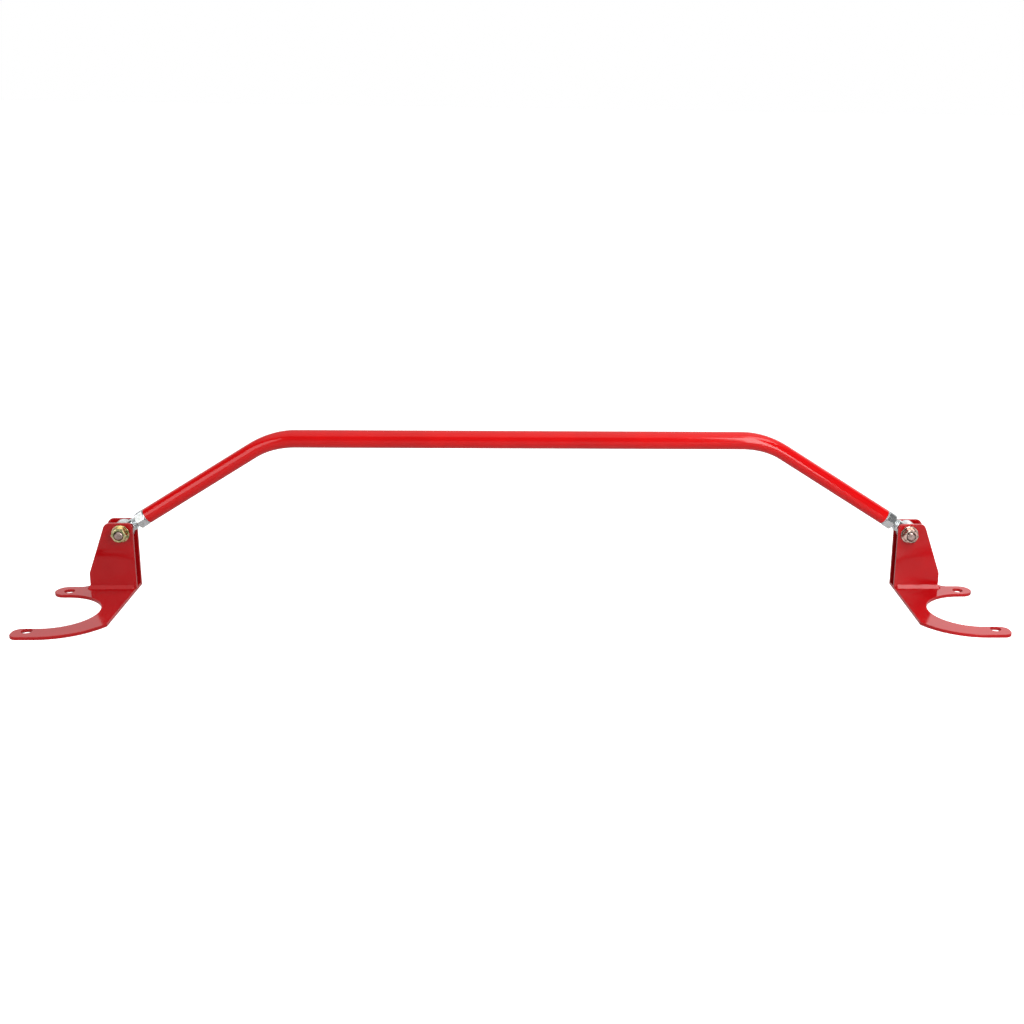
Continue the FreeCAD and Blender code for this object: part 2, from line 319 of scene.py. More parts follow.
def corner(before, here, after, radius, step=9.0):
    # the arc that touches both sides of a corner, or the corner itself where the radius is 0
    here = np.array(here, float)
    if radius == 0:
        return here[None, :]
    back = (before - here) / np.linalg.norm(before - here)
    ahead = (after - here) / np.linalg.norm(after - here)
    half = math.acos(np.clip(back @ ahead, -1, 1)) / 2
    middle = (back + ahead) / np.linalg.norm(back + ahead)
    centre = here + middle * radius / math.sin(half)
    first = here + back * radius / math.tan(half) - centre
    last = here + ahead * radius / math.tan(half) - centre
    start = math.degrees(math.atan2(first[1], first[0]))
    sweep = (math.degrees(math.atan2(last[1], last[0])) - start + 180) % 360 - 180
    return arc(centre, radius, start, start + sweep, step)


def roundedOutline(corners):
    # closed outline through (x, y, corner radius) rows
    spots = np.array([c[:2] for c in corners], float)
    runs = [corner(spots[k - 1], spots[k], spots[(k + 1) % len(spots)], corners[k][2])
            for k in range(len(corners))]
    return np.concatenate(runs)


def supported(loop, gap=0.4, longEdge=2.5):
    # long straight edges get a point close to each end, so that shading turns only in the corners
    after = np.roll(loop, -1, axis=0)
    way = after - loop
    length = np.linalg.norm(way, axis=1)
    long = length > longEdge
    unit = way / np.maximum(length, 1e-9)[:, None]
    longAt = np.where(long)[0]
    # fractions put the two new points between their neighbours' whole numbers
    order = np.concatenate([np.arange(len(loop)), longAt + 0.3, longAt + 0.6])
    allPoints = np.concatenate([loop, (loop + unit * gap)[long], (after - unit * gap)[long]])
    return allPoints[np.argsort(order, kind="stable")]


def facing(loop):
    # mitred outward direction at each point of a loop that keeps the material on its left
    ahead = np.roll(loop, -1, axis=0) - loop
    ahead = ahead / np.linalg.norm(ahead, axis=1)[:, None]
    out = np.stack([ahead[:, 1], -ahead[:, 0]], axis=-1)
    both = out + np.roll(out, 1, axis=0)
    return 2 * both / np.maximum((both ** 2).sum(1), 1e-9)[:, None]


def areaOf(loop):
    after = np.roll(loop, -1, axis=0)
    return (loop[:, 0] * after[:, 1] - loop[:, 1] * after[:, 0]).sum() / 2


def plateSkin(outer, holes, low, high, edge):
    # Each outline is carried up a rounded edge profile: inset edge * (1 - cos a) at a height of
    # edge * (1 - sin a) from the face. The flat faces are filled between the innermost rings.
    loops = [outer if areaOf(outer) > 0 else outer[::-1]]
    loops += [hole if areaOf(hole) < 0 else hole[::-1] for hole in holes]
    turn = np.radians(np.linspace(90, 0, 5))
    faceRing, wallRing = 1.6 * edge, 1.5 * edge  # rings a little beyond the rounding keep both flats flat
    inset = np.concatenate([[faceRing], edge * (1 - np.cos(turn)), [0.0]])
    height = np.concatenate([[0.0], edge * (1 - np.sin(turn)), [wallRing]])
    inset = np.concatenate([inset, inset[::-1]])
    height = np.concatenate([low + height, high - height[::-1]])
    points, faces, bottomRing, topRing, start = [], [], [], [], 0
    for loop in loops:
        loop = supported(loop)
        flat = loop[None] - facing(loop)[None] * inset[:, None, None]
        level = np.broadcast_to(height[:, None, None], (len(height), len(loop), 1))
        ring, quads = gridSkin(np.concatenate([flat, level], axis=-1))
        points.append(ring)
        faces.append(quads + start)
        bottomRing.append(np.arange(start, start + len(loop)))
        topRing.append(np.arange(start + (len(height) - 1) * len(loop), start + len(height) * len(loop)))
        start += len(ring)
    points = np.concatenate(points)
    rings = [points[ring][:, :2] for ring in topRing]
    fill = np.array(tessellate_polygon([[(*p, 0.0) for p in ring.tolist()] for ring in rings]))
    flatRing = np.concatenate(rings)
    a, b, c = flatRing[fill[:, 0]], flatRing[fill[:, 1]], flatRing[fill[:, 2]]
    turned = (b[:, 0] - a[:, 0]) * (c[:, 1] - a[:, 1]) < (b[:, 1] - a[:, 1]) * (c[:, 0] - a[:, 0])
    fill[turned] = fill[turned][:, ::-1]
    top = np.concatenate(topRing)[fill]
    bottom = np.concatenate(bottomRing)[fill[:, ::-1]]
    triangles = np.concatenate([top, bottom])
    quads = np.concatenate(faces)
    halves = np.concatenate([quads[:, [0, 1, 2]], quads[:, [0, 2, 3]]])
    return points, np.concatenate([halves, triangles])


def latheSkin(profile, segments=72, closed=False):
    # point = (r cos a, r sin a, z) for each (r, z) of the profile and each angle a
    profile = np.array(profile, float)
    turn = np.linspace(0, 2 * math.pi, segments, endpoint=False)[None, :]
    radius, height = profile[:, :1], profile[:, 1:]
    points = np.stack([radius * np.cos(turn), radius * np.sin(turn), height + 0 * turn], axis=-1)
    return gridSkin(points, closedRows=closed)


def softProfile(corners):
    # a closed (r, z) profile with rounded corners and support points beside them
    return supported(roundedOutline(corners), gap=0.15, longEdge=0.7)


threadForm = {
    "steps": 10,           # rows of points in one pitch
    "flank": 1.35,         # how steeply the tooth rises and falls, 1 being a plain zigzag
    "crest": 0.15,         # share of the rise that is cut flat at the crest
    "tipFlat": 0.9,        # radius of the end's flat face, as a share of the tip's
}


def threadSkin(major, pitch, depth, low, high, chamfer=0.0, segments=48):
    # a screw thread: r = major - depth * t, where t runs up and down once per pitch along
    # z + pitch * angle / (2 pi); the tip is cut back at 45 degrees over the chamfer
    rows = int((high - low) / pitch * threadForm["steps"]) + 1
    z = np.linspace(low, high, rows)[:, None]
    turn = np.linspace(0, 2 * math.pi, segments, endpoint=False)[None, :]
    phase = (z / pitch - turn / (2 * math.pi)) % 1
    tooth = np.clip(np.abs(2 * phase - 1) * threadForm["flank"] - threadForm["crest"], 0, 1)
    radius = np.minimum(major - depth * tooth, major - chamfer + (high - z))
    points = np.stack([radius * np.cos(turn), radius * np.sin(turn), z + 0 * turn], axis=-1)
    centreLow = np.broadcast_to([0, 0, low], (1, segments, 3))
    centreHigh = np.broadcast_to([0, 0, high], (1, segments, 3))
    flatTop = points[-1:] * [threadForm["tipFlat"], threadForm["tipFlat"], 1]
    return gridSkin(np.concatenate([centreLow, points, flatTop, centreHigh]))


hexForm = {
    "chamferAt": 0.95,     # where the end's cone starts, as a share of the distance to a flat
    "chamferTurn": 30.0,   # degrees
    "cornerEase": 0.6,     # mm, rounding of the six long edges
    "edge": 0.25,          # mm, rounding where the cone meets the end face and the flats
    "boreEase": 0.9,       # mm, chamfer of the bore's mouth
    "flatSteps": 12,       # points along one flat
}


def hexSkin(flats, height, cornerTurn, bore):
    # A hexagon outline with eased corners, carried from one end to the other. Each end is cut by a
    # 30 degree cone, so its edge lies at (distance from the axis - cone radius) * tan 30.
    tip = flats / math.sqrt(3)
    turn = cornerTurn + np.arange(6) * math.pi / 3
    ease = hexForm["cornerEase"]
    outline = roundedOutline([(tip * math.cos(t), tip * math.sin(t), ease) for t in turn])
    ahead = np.roll(outline, -1, axis=0)
    long = np.linalg.norm(ahead - outline, axis=1) > 2
    steps = hexForm["flatSteps"]
    pieces = [np.linspace(outline[k], ahead[k], steps, endpoint=False) if long[k] else outline[k:k + 1]
              for k in range(len(outline))]
    outline = supported(np.concatenate(pieces), gap=0.2, longEdge=0.6)
    distance = np.linalg.norm(outline, axis=1)
    unit = outline / distance[:, None]
    cone = hexForm["chamferAt"] * flats / 2
    slope = math.tan(math.radians(hexForm["chamferTurn"]))
    edge, mouth = hexForm["edge"], hexForm["boreEase"]
    drop = (distance - cone) * slope
    full = np.ones_like(distance)
    # (radius, depth from the end face) from the bore out to the side
    rim = [(full * (bore + mouth), 0 * full),
           (full * (cone - 1.2 * edge), 0 * full),
           (full * (cone - 0.4 * edge), 0 * full),
           (cone + 0.4 * edge * full, 0.4 * edge * slope * full)]
    share = np.minimum(edge / np.maximum(distance - cone, 1e-6), 0.45)
    rim.append((distance - share * (distance - cone), drop - share * drop))
    rim.append((distance, drop + 0.7 * edge))
    rim.append((distance, drop + 1.6 * edge))
    if bore > 0:
        rim = [(full * bore, (height / 2) * full), (full * bore, mouth * full)] + rim
    else:
        rim[0] = (0 * full, 0 * full)
    rows = [np.concatenate([unit * r[:, None], z[:, None]], axis=1) for r, z in rim]
    upper = [np.concatenate([unit * r[:, None], (height - z)[:, None]], axis=1) for r, z in rim[::-1]]
    if bore > 0:
        upper = upper[:-1]  # both ends share the ring half way up the bore
    points = np.stack(rows + upper)
    return gridSkin(points, closedRows=bore > 0)


# Bar

bar = {
    "cornerHalfSpan": 303.0,
    "bendRadius": 100.0,
    "diameter": 22.0,
    "legDiameter": 19.5,
    "wall": 2.0,
    "endFromPivot": 36.2,
    "lip": 0.5,            # rounding of the cut ends
    "straightSteps": 19,   # half the straight
    "bendSteps": 48,
    "legSteps": 13,
    "around": 80,
}


def barTube():
    # A circle is carried along the bar's centre line: leg, bend, straight, bend, leg. Its radius
    # eases from the middle's to the legs' through each bend as 3 t^2 - 2 t^3. The inner wall goes back.
    top = boxOf("bar_tube")[1][2] - bar["diameter"] / 2
    reach = bar["bendRadius"] * math.tan(legTurn / 2)
    straight = bar["cornerHalfSpan"] - reach
    bend = np.linspace(0, 1, bar["bendSteps"] + 1)
    cornerPoint = np.array([bar["cornerHalfSpan"], top])
    down = np.array([math.cos(legTurn), -math.sin(legTurn)])
    bendEnd = cornerPoint + down * reach
    legLength = np.linalg.norm(np.array([pivot[0], pivot[2]]) - bendEnd) - bar["endFromPivot"]
    lip = bar["lip"]
    lipTurn = np.radians(np.linspace(0, 90, 5))
    legRun = np.concatenate([np.linspace(0, legLength - 2 * lip, bar["legSteps"] + 1)[1:],
                             legLength - lip + lip * np.sin(lipTurn)])
    count = bar["straightSteps"]
    x = np.concatenate([np.linspace(0, straight, count + 1)[:-1],
                        straight + bar["bendRadius"] * np.sin(bend * legTurn),
                        bendEnd[0] + down[0] * legRun])
    z = np.concatenate([np.full(count, top), top - bar["bendRadius"] * (1 - np.cos(bend * legTurn)),
                        bendEnd[1] + down[1] * legRun])
    tilt = np.concatenate([np.zeros(count), bend * legTurn, np.full(len(legRun), legTurn)])
    ease = 3 * bend ** 2 - 2 * bend ** 3
    middle, leg = bar["diameter"] / 2, bar["legDiameter"] / 2
    radius = np.concatenate([np.full(count, middle), middle + (leg - middle) * ease,
                             np.full(len(legRun), leg)])
    radius[-len(lipTurn):] -= lip * (1 - np.cos(lipTurn))
    # mirrored, so that x and the tilt change sign on the left
    x, tilt = (np.concatenate([-v[:0:-1], v]) for v in (x, tilt))
    z, radius = (np.concatenate([v[:0:-1], v]) for v in (z, radius))
    inner = radius - bar["wall"]
    inner[:len(lipTurn)] = inner[-len(lipTurn):] = leg - bar["wall"]
    x, z, tilt = (np.concatenate([v, v[::-1]]) for v in (x, z, tilt))
    radius = np.concatenate([radius, inner[::-1]])
    turn = np.linspace(0, 2 * math.pi, bar["around"], endpoint=False)[None, :]
    # around the path: the bend's plane is XZ, so one direction is Y and the other is the tilted up
    rise = radius[:, None] * np.cos(turn)
    points = np.stack([x[:, None] + np.sin(tilt)[:, None] * rise,
                       pivot[1] + radius[:, None] * np.sin(turn),
                       z[:, None] + np.cos(tilt)[:, None] * rise], axis=-1)
    return gridSkin(points, closedRows=True)


makePiece("bar", [barTube()], barCoat, "bar", "bar_tube")
print("bar drawn and bent")


# Threaded ends

threadedEnd = {
    "thread": 12.0,
    "pitch": 1.75,
    "threadDepth": 0.95,
    "clearance": 0.05,
    "collarFromPivot": 35.2,
    "collar": 1.0,
    "insertLength": 32.0,
    "lockNutFromPivot": 23.0,
    "lockNutFlats": 19.0,
    "lockNutHeight": 12.0,
    "eye": 26.0,
    "eyeWidth": 15.4,
    "eyeBore": 10.1,
    "eyeEdge": 1.3,
    "shoulderFromPivot": 18.0,
    "shoulder": 15.0,
    "shoulderEase": 0.8,
    "neckFillet": 3.0,
    "neckInset": 0.15,     # the neck's pressed sides stay this far inside the eye's
    "neckPress": 14,       # power of its section's curve, 2 being an ellipse
    "length": 60.0,
    "tipChamfer": 1.2,
}


def threadInsert():
    # a turned plug in the tube's end, with a thin collar that shows between tube and nut
    e = threadedEnd
    bore = e["thread"] / 2 + e["clearance"]
    plug = bar["legDiameter"] / 2 - bar["wall"] - e["clearance"]
    z0 = e["collarFromPivot"]
    z1 = z0 + e["collar"]
    z2 = z1 + e["insertLength"]
    rim = bar["legDiameter"] / 2
    mouth = 0.6  # chamfer of the threaded bore
    profile = softProfile([(bore, z0 + mouth, 0), (bore + mouth, z0, 0.1), (rim, z0, 0.25),
                           (rim, z1, 0.1), (plug, z1, 0), (plug, z2, 0.8), (bore, z2, 0.2)])
    return latheSkin(profile, closed=True)


def eyeRing():
    # a turned ring round the pivot bolt, its rims rounded as forged
    e = threadedEnd
    half, outside, bore = e["eyeWidth"] / 2, e["eye"] / 2, e["eyeBore"] / 2
    profile = softProfile([(bore, -half, 0.5), (outside, -half, e["eyeEdge"]),
                           (outside, half, e["eyeEdge"]), (bore, half, 0.5)])
    ring = latheSkin(profile, segments=96, closed=True)
    return placed(ring, [0, 0, 0], upward, np.array([1.0, 0, 0]), across)


def eyeNeck():
    # The neck is a round shoulder that meets the ring in a small fillet: its half width there is
    # shoulder + fillet - sqrt(fillet^2 - (z - touch)^2). Across the ring it is pressed to the
    # eye's width, as side / (1 + (side / limit)^power)^(1 / power).
    e = threadedEnd
    half, fillet, ease = e["shoulder"] / 2, e["neckFillet"], e["shoulderEase"]
    touch = math.sqrt((e["eye"] / 2 + fillet) ** 2 - (half + fillet) ** 2)
    meet = touch * (e["eye"] / 2) / (e["eye"] / 2 + fillet)
    end = e["shoulderFromPivot"]
    z = np.concatenate([[meet - 2.5], np.linspace(meet, touch, 10), np.linspace(touch, end - ease, 8)[1:],
                        end - ease + ease * np.sin(np.radians([22.5, 45, 67.5, 90]))])[:, None]
    flare = fillet - np.sqrt(fillet ** 2 - np.clip(touch - z, 0, touch - meet) ** 2)
    cut = np.clip((z - end + ease) / ease, 0, 1)
    radius = half + flare - ease * (1 - np.sqrt(1 - cut ** 2))
    turn = np.linspace(0, 2 * math.pi, 64, endpoint=False)[None, :]
    side = radius * np.sin(turn)
    limit, power = e["eyeWidth"] / 2 - e["neckInset"], e["neckPress"]
    side = side / (1 + np.abs(side / limit) ** power) ** (1 / power)
    points = np.stack([radius * np.cos(turn), side, z + 0 * turn], axis=-1)
    bottom = np.broadcast_to([0, 0, z[0, 0]], (1, 64, 3))
    top = np.broadcast_to([0, 0, end], (1, 64, 3))
    return gridSkin(np.concatenate([bottom, points, top]))


def eyeShank():
    e = threadedEnd
    return threadSkin(e["thread"] / 2, e["pitch"], e["threadDepth"],
                      e["shoulderFromPivot"] - 1, e["length"], chamfer=e["tipChamfer"])


def threadedEnds(sideName, mirror):
    e = threadedEnd
    makePiece(sideName + "ThreadInsert", [onLeg(threadInsert())], zinc, "bar",
              sideName + "_thread_insert", mirror)
    nut = hexSkin(e["lockNutFlats"], e["lockNutHeight"], math.pi / 2, e["thread"] / 2 + e["clearance"])
    nut = (nut[0] + [0, 0, e["lockNutFromPivot"]], nut[1])
    makePiece(sideName + "LockNut", [onLeg(nut)], zinc, sideName + "_lock_nut",
              sideName + "_lock_nut", mirror)
    eye = [onLeg(eyeRing()), onLeg(eyeNeck()), onLeg(eyeShank())]
    makePiece(sideName + "EyeEnd", eye, zinc, sideName + "_eye", sideName + "_eye_end", mirror)


for sideName, side in sides.items():
    threadedEnds(sideName, side < 0)
print("threaded ends turned")


# Pivot bolts, nuts and washers

fastener = {
    "bolt": 10.0,
    "pitch": 1.5,
    "threadDepth": 0.8,
    "threadLength": 18.0,
    "hole": 10.5,
    "flats": 17.0,
    "headTurn": 10.0,      # degrees
    "tipChamfer": 1.0,
    "shankEase": 0.6,      # where the plain shank meets the thread
    "washerEdge": 0.35,
}


def pivotBolt():
    f = fastener
    headFace = boxOf("right_head_washer")[1][1]
    headHeight = boxOf("right_pivot_bolt")[1][1] - headFace
    length = headFace - boxOf("right_pivot_bolt")[0][1]
    head = hexSkin(f["flats"], headHeight, math.radians(f["headTurn"]), 0)
    head = (head[0] - [0, 0, headHeight], head[1])
    radius, plain, ease = f["bolt"] / 2, length - f["threadLength"], f["shankEase"]
    shank = latheSkin([(0, -1), (radius, -1), (radius, plain),
                       (radius - ease, plain + ease), (0, plain + ease)])
    thread = threadSkin(radius, f["pitch"], f["threadDepth"], plain, length, chamfer=f["tipChamfer"])
    return [onPivot(part, headFace, True) for part in (head, shank, thread)]


def pivotNut():
    low, high = boxOf("right_pivot_nut")
    nut = hexSkin(fastener["flats"], high[1] - low[1], 0.0, fastener["hole"] / 2)
    return [onPivot(nut, high[1], True)]


def washer(nodeName):
    low, high = boxOf(nodeName)
    thickness, edge = high[1] - low[1], fastener["washerEdge"]
    hole, rim = fastener["hole"] / 2, (high[0] - low[0]) / 2
    profile = softProfile([(hole, 0, 0.2), (rim, 0, edge), (rim, thickness, edge), (hole, thickness, 0.3)])
    return [onPivot(latheSkin(profile, segments=96, closed=True), low[1], False)]


for sideName, side in sides.items():
    mirror = side < 0
    bracketBody = sideName + "_bracket"
    makePiece(sideName + "PivotBolt", pivotBolt(), boltZinc, bracketBody,
              sideName + "_pivot_bolt", mirror)
    makePiece(sideName + "PivotNut", pivotNut(), yellow[sideName], bracketBody,
              sideName + "_pivot_nut", mirror)
    for pieceName, nodeName in (("HeadWasher", "head_washer"), ("NutWasher", "nut_washer")):
        makePiece(sideName + pieceName, washer("right_" + nodeName), yellow[sideName], bracketBody,
                  sideName + "_" + nodeName, mirror)
print("pivot hardware turned")


# Brackets

bracket = {
    "coatEdge": 0.5,       # the coat rounds every sheared edge
    "earTopWidth": 33.5,
    "earUpright": 19.5,
    "earInnerCorner": 6.0,
    "earOuterCorner": 8.0,
    "earSink": 0.6,        # the ears' feet reach this far into the plate
    "openingRadius": 53.5,
    "web": 23.0,
    "rearProng": 28.5,
    "frontProng": 25.5,
    "rearReach": 20.0,
    "frontReach": 26.5,
    "frontTipCorner": 10.0,
    "rimExtra": 29.5,
    "rimShift": 2.5,
    "backStep": 6.5,
    "rootMargin": 1.0,
    "rootFillet": 13.0,
    "lean": 3.4,
    "plateCorner": 3.0,
    "studCircle": 128.0,
    "studTurn": 3.4,
    "studHole": 12.5,
    "studShift": (6.3, 2.9),
}


def earPiece(nodeName):
    # the ear's outline in x and z, carried through its thickness along y
    b = bracket
    low, high = boxOf(nodeName)
    kink = low[2] + b["earUpright"]
    foot = low[2] - b["earSink"]
    outline = roundedOutline([(low[0], foot, 0), (high[0], foot, 0), (high[0], kink, b["earOuterCorner"]),
                              (low[0] + b["earTopWidth"], high[2], b["earOuterCorner"]),
                              (low[0], high[2], b["earInnerCorner"])])
    hole = arc((pivot[0], pivot[2]), fastener["hole"] / 2, 0, 350, 10.0)
    skin = plateSkin(outline, [hole], low[1], high[1], b["coatEdge"])
    return [placed(skin, [0, 0, 0], [1, 0, 0], [0, 0, 1], [0, 1, 0])]


def plateOutline(low, high):
    b = bracket
    middle = pivot[1]
    centre = np.array([low[0] + b["web"] + b["openingRadius"], 0.0])
    centre[1] = middle - b["backStep"] - b["rearProng"] - b["openingRadius"]
    root = boxOf("right_front_ear")[1][0] + b["rootMargin"]
    back = middle - b["backStep"]
    rearTip, frontTip = centre[0] + b["rearReach"], centre[0] + b["frontReach"]
    rearFront = back - b["rearProng"]
    frontBack = low[1] + b["frontProng"]
    rearRound = b["rearProng"] / 2 - 0.01
    spots = np.array([(low[0], high[1]), (root, high[1]), (root, back), (rearTip, back),
                      (rearTip, rearFront), (centre[0], rearFront)])
    radii = [b["plateCorner"], b["plateCorner"], b["rootFillet"], rearRound, rearRound]
    leanFoot = np.array([low[0] + b["lean"], low[1]])
    start = corner(leanFoot, spots[0], spots[1], radii[0])
    behind = [corner(spots[k - 1], spots[k], spots[k + 1], radii[k]) for k in range(1, 5)]
    opening = arc(centre, b["openingRadius"], 90, 270)
    tips = [corner(np.array([centre[0], frontBack]), np.array([frontTip, frontBack]),
                   np.array([frontTip, low[1]]), b["frontTipCorner"]),
            corner(np.array([frontTip, frontBack]), np.array([frontTip, low[1]]),
                   np.array([centre[0], low[1]]), b["frontTipCorner"])]
    # the outer sweep runs from the front edge round to the inner edge, where a small arc touches both
    rimRadius = b["openingRadius"] + b["rimExtra"]
    rimCentre = np.array([centre[0] - b["rimShift"], low[1] + rimRadius])
    inner = spots[0] - leanFoot
    inner = inner / np.linalg.norm(inner)
    aside = np.array([inner[1], -inner[0]])  # from the inner edge into the plate
    small = b["plateCorner"]
    fromCentre = leanFoot + aside * small - rimCentre
    run = -(fromCentre @ inner) - math.sqrt((fromCentre @ inner) ** 2 - fromCentre @ fromCentre
                                            + (rimRadius - small) ** 2)
    smallCentre = leanFoot + aside * small + inner * run
    reach = smallCentre - rimCentre
    meetTurn = math.degrees(math.atan2(reach[1], reach[0])) % 360
    edgeTurn = math.degrees(math.atan2(-aside[1], -aside[0])) % 360
    sweep = arc(rimCentre, rimRadius, 270, meetTurn)
    blend = arc(smallCentre, small, meetTurn, edgeTurn, 9.0)[1:]
    return np.concatenate([start] + behind + [opening] + tips + [sweep, blend]), centre


def basePlate():
    b = bracket
    low, high = boxOf("right_base_plate")
    outline, centre = plateOutline(low, high)
    middle = centre + b["studShift"]
    turn = math.radians(b["studTurn"])
    holes = []
    for way in (1, -1):
        spot = middle + way * b["studCircle"] / 2 * np.array([-math.sin(turn), math.cos(turn)])
        holes.append(arc(spot, b["studHole"] / 2, 0, 352, 8.0))
    return [plateSkin(outline, holes, low[2], high[2], b["coatEdge"])]


weld = {
    "leg": 4.0,            # mm along the plate and up the ear
    "bulge": 1.05,         # 1 is a flat bevel, 2 a quarter round
    "ripple": 4.6,         # mm between the ripples
    "rippleDepth": 0.022,  # as a share of the leg
    "bow": 0.9,            # mm by which each ripple trails at the toes
    "taper": 3.0,          # mm over which the bead starts and stops
    "sink": 0.5,
    "start": 2.0,          # mm from the ear's inner edge
    "rippleSkew": 0.3,     # a second wave that makes each ripple steeper on one side
    "toeCalm": 0.4,        # how much of the ripple is lost at the toes
    "wander": ((0.035, 5.3, 0.0), (0.03, 2.9, 1.1)),  # slow swells: share of the leg, mm, phase
    "legSpare": 0.02,      # mm kept inside the full leg
}


def weldBead(earName, way):
    # A bead's section, with its outer face at leg / (cos^n + sin^n)^(1/n) between the toes, is carried
    # along the ear's foot, turned round its outer corner and carried along its end. The leg swells and
    # shrinks once per ripple, and each ripple trails at the toes.
    w = weld
    low, high = boxOf(earName)
    foot = low[2]
    outside = low[1] if way < 0 else high[1]
    inside = high[1] if way < 0 else low[1]
    startX = low[0] + w["start"]
    run, turnCount, endRun = high[0] - startX, 13, abs(outside - inside)
    first = np.linspace(0, run, 150)
    turns = np.linspace(0, math.pi / 2, turnCount)[1:]
    last = np.linspace(0, endRun, 12)[1:]
    x = np.concatenate([startX + first, np.full(len(turns) + len(last), high[0])])
    y = np.concatenate([np.full(len(first) + len(turns), outside), outside - way * last])
    spin = np.concatenate([np.zeros(len(first)), turns, np.full(len(last), math.pi / 2)])
    # the bead's own length is measured half way out to its toe
    s = np.concatenate([first, run + turns * w["leg"] / 2, run + math.pi / 4 * w["leg"] + last])
    psi = np.radians(np.linspace(0, 90, 13))[None, :]
    toe = np.abs(psi / (math.pi / 4) - 1)
    phase = 2 * math.pi * (s[:, None] - w["bow"] * toe ** 2) / w["ripple"]
    wander = sum(share * np.sin(s / length + offset) for share, length, offset in w["wander"])
    ripple = (np.sin(phase) + w["rippleSkew"] * np.sin(2 * phase)) * (1 - w["toeCalm"] * toe ** 2)
    swell = 1 + w["rippleDepth"] * ripple - w["rippleDepth"] * 1.2  # kept just under the full leg
    ends = np.minimum(s, s[-1] - s)
    fade = np.sqrt(np.clip(1 - (1 - np.clip(ends / w["taper"], 0, 1)) ** 2, 0, 1))
    n = w["bulge"]
    leg = w["leg"] * (swell + wander[:, None]) * fade[:, None]
    leg = np.minimum(leg, w["leg"] - w["legSpare"])
    reach = leg / (np.cos(psi) ** n + np.sin(psi) ** n) ** (1 / n)
    out, rise = reach * np.cos(psi), reach * np.sin(psi)
    # two more points behind the bead, inside the plate and the ear, close the section
    sink = w["sink"] * fade[:, None]
    out = np.concatenate([out, -sink, out[:, :1]], axis=1)
    rise = np.concatenate([rise, rise[:, -1:], -sink], axis=1)
    out[:, -3] = np.minimum(out[:, -3], 0)
    points = np.stack([x[:, None] + np.sin(spin)[:, None] * out,
                       y[:, None] + way * np.cos(spin)[:, None] * out,
                       foot + rise], axis=-1)
    return [gridSkin(points)]


for sideName, side in sides.items():
    mirror = side < 0
    bracketBody = sideName + "_bracket"
    makePiece(sideName + "BasePlate", basePlate(), shadedBracketCoat, bracketBody,
              sideName + "_base_plate", mirror)
    for earName, way in (("front_ear", -1), ("rear_ear", 1)):
        pieceName = sideName + ("FrontEar" if way < 0 else "RearEar")
        makePiece(pieceName, earPiece("right_" + earName), shadedBracketCoat, bracketBody,
                  sideName + "_" + earName, mirror)
        makePiece(pieceName + "Weld", weldBead("right_" + earName, way), shadedBracketCoat, bracketBody,
                  sideName + "_" + earName + "_weld", mirror)
print("brackets cut, welded and coated")


# Stage, light and camera

studio = {
    "floorShade": 0.35,    # how much light the floor gives back to the object
    "floorMirrored": 0.55, # how pale it looks in the plated parts
    "floorWhite": 0.9,     # and to the camera, on top of the glow
    "floorGlow": 0.6,
    "drop": 55.0,          # mm down to the floor, so that a bracket swings clear of it
    "floorHalf": 30.0,     # m
}

roomGlow = {
    # rows of steps: a direction's axis, where along it the step starts and ends, and its two levels
    "ceiling": (("Z", 0.55, 0.9, 0.0, 1.0), ("X", -0.25, 0.25, 1.1, 1.5)),
    "back": (("Y", 0.1, 0.5, 0.0, 1.0), ("Z", 0.45, 0.75, 1.0, 0.0), ("X", -0.1, 0.35, 1.0, 1.5)),
    "front": (("Y", -0.5, -0.1, 0.2, 0.0), ("Z", 0.4, 0.7, 1.0, 0.0)),
}

softboxes = {
    # where each hangs and what it faces, in metres, then its width, height and radiance
    "rightStrip": ((0.62, -1.0, 0.65), (0.3, 0.07, 0.35), 0.36, 1.3, 9.5),
    "leftPanel": ((-1.06, -0.89, 0.42), (-0.42, 0.07, 0.15), 0.8, 0.7, 3.5),
    "overheadRight": ((0.8, -0.4, 1.15), (0.47, 0.06, 0.02), 0.65, 0.45, 5.0),
}

cameraSetup = {
    "spot": (0.01663, -1.57142, 0.62312),  # m
    "yaw": 2.754,          # degrees to the right of straight ahead
    "pitch": 15.487,       # degrees down
    "roll": 0.935,         # degrees about its own axis
    "sensor": 36.0,        # mm
    "lens": 48.51,         # mm
    "shift": (-0.0838, -0.0499),
}


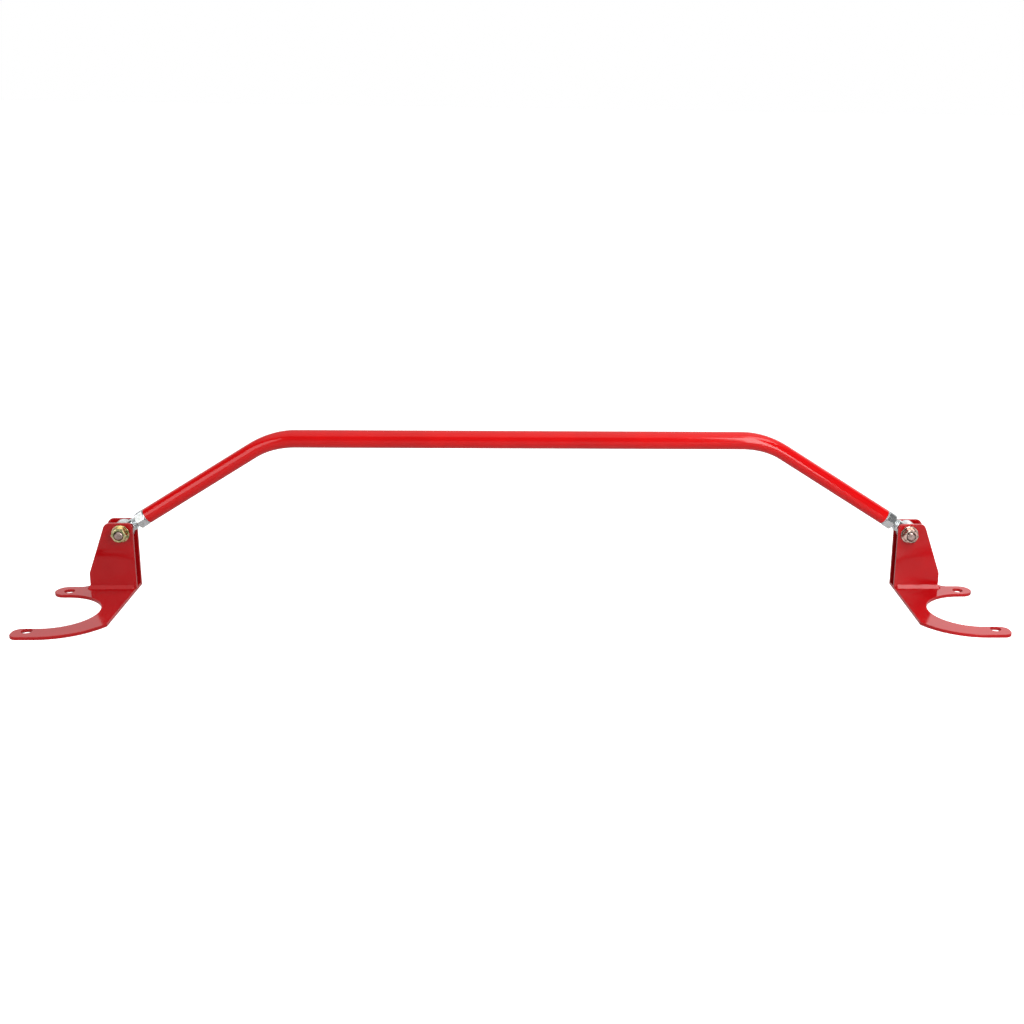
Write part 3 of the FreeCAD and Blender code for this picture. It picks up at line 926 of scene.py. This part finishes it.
def paleFloor():
    # a white sheet: bright to the camera, dimmer to the object, so that undersides stay dark, and
    # between the two in mirror-like plating
    material, tree, _ = startMaterial("paleFloor")
    matt = addNode(tree, "ShaderNodeBsdfDiffuse", inputs={"Color": grey(studio["floorShade"])})
    pale = addNode(tree, "ShaderNodeBsdfDiffuse", inputs={"Color": grey(studio["floorWhite"])})
    glow = addNode(tree, "ShaderNodeEmission", inputs={"Color": grey(1.0), "Strength": studio["floorGlow"]})
    both = addNode(tree, "ShaderNodeAddShader", inputs={
        0: pale.outputs["BSDF"], 1: glow.outputs["Emission"]})
    ray = addNode(tree, "ShaderNodeLightPath")
    mirrored = addNode(tree, "ShaderNodeBsdfDiffuse", inputs={"Color": grey(studio["floorMirrored"])})
    unseen = addNode(tree, "ShaderNodeMixShader", inputs={
        0: ray.outputs["Is Glossy Ray"], 1: matt.outputs["BSDF"], 2: mirrored.outputs["BSDF"]})
    mix = addNode(tree, "ShaderNodeMixShader", inputs={
        0: ray.outputs["Is Camera Ray"], 1: unseen.outputs["Shader"], 2: both.outputs["Shader"]})
    addNode(tree, "ShaderNodeOutputMaterial", inputs={"Surface": mix.outputs["Shader"]})
    half, level = studio["floorHalf"], -studio["drop"] * mm
    mesh = bpy.data.meshes.new("floor")
    mesh.from_pydata([(-half, -half, level), (half, -half, level), (half, half, level), (-half, half, level)],
                     [], [(0, 1, 2, 3)])
    mesh.materials.append(material)
    floor = bpy.data.objects.new("floor", mesh)
    bpy.context.scene.collection.objects.link(floor)


def studioWorld():
    # white to the camera; to everything else a dim room with a pale ceiling and a white wall
    # behind, both brighter towards the right: the sum over the room's parts of the product of
    # their smooth steps
    world = bpy.data.worlds.new("studio")
    bpy.context.scene.world = world
    world.use_nodes = True
    tree = world.node_tree
    tree.nodes.clear()
    place = addNode(tree, "ShaderNodeTexCoord").outputs["Generated"]
    directions = addNode(tree, "ShaderNodeSeparateXYZ", inputs={"Vector": place}).outputs
    room = 0.0
    for steps in roomGlow.values():
        part = 1.0
        for axis, low, high, start, end in steps:
            step = addNode(tree, "ShaderNodeMapRange", {"interpolation_type": "SMOOTHSTEP"}, {
                "Value": directions[axis], "From Min": low, "From Max": high,
                "To Min": start, "To Max": end}).outputs["Result"]
            part = addNode(tree, "ShaderNodeMath", {"operation": "MULTIPLY"}, {0: part, 1: step}).outputs[0]
        room = addNode(tree, "ShaderNodeMath", {"operation": "ADD"}, {0: room, 1: part}).outputs[0]
    dim = addNode(tree, "ShaderNodeBackground", inputs={"Color": grey(1.0), "Strength": room})
    white = addNode(tree, "ShaderNodeBackground", inputs={"Color": grey(1.0), "Strength": 1.0})
    ray = addNode(tree, "ShaderNodeLightPath")
    mix = addNode(tree, "ShaderNodeMixShader", inputs={
        0: ray.outputs["Is Camera Ray"], 1: dim.outputs["Background"], 2: white.outputs["Background"]})
    addNode(tree, "ShaderNodeOutputWorld", inputs={"Surface": mix.outputs["Shader"]})


def softbox(name, spot, aim, width, height, radiance):
    # an evenly bright panel gives pi * area * radiance watts
    light = bpy.data.lights.new(name, "AREA")
    light.shape = "RECTANGLE"
    light.size, light.size_y = width, height
    light.energy = math.pi * width * height * radiance
    lamp = bpy.data.objects.new(name, light)
    bpy.context.scene.collection.objects.link(lamp)
    lamp.location = spot
    lamp.rotation_euler = (Vector(spot) - Vector(aim)).to_track_quat("Z", "Y").to_euler()
    lamp.visible_camera = False


def studioCamera():
    # looks a little down and to the right from the bar's front, turned a degree about its own axis
    data = bpy.data.cameras.new("camera")
    camera = bpy.data.objects.new("camera", data)
    bpy.context.scene.collection.objects.link(camera)
    bpy.context.scene.camera = camera
    yaw, pitch, roll = (math.radians(cameraSetup[key]) for key in ("yaw", "pitch", "roll"))
    ahead = np.array([math.sin(yaw) * math.cos(pitch), math.cos(yaw) * math.cos(pitch), -math.sin(pitch)])
    rightward = np.array([math.cos(yaw), -math.sin(yaw), 0.0])
    above = np.cross(rightward, ahead)
    x = rightward * math.cos(roll) + above * math.sin(roll)
    y = above * math.cos(roll) - rightward * math.sin(roll)
    rows = np.eye(4)
    rows[:3] = np.stack([x, y, -ahead, np.array(cameraSetup["spot"])], axis=1)
    camera.matrix_world = Matrix(rows.tolist())
    data.sensor_width, data.lens = cameraSetup["sensor"], cameraSetup["lens"]
    data.shift_x, data.shift_y = cameraSetup["shift"]
    data.clip_end = 100.0


paleFloor()
studioWorld()
for name, setting in softboxes.items():
    softbox(name, *setting)
studioCamera()
bpy.context.scene.view_settings.view_transform = "Standard"
print("studio lit")
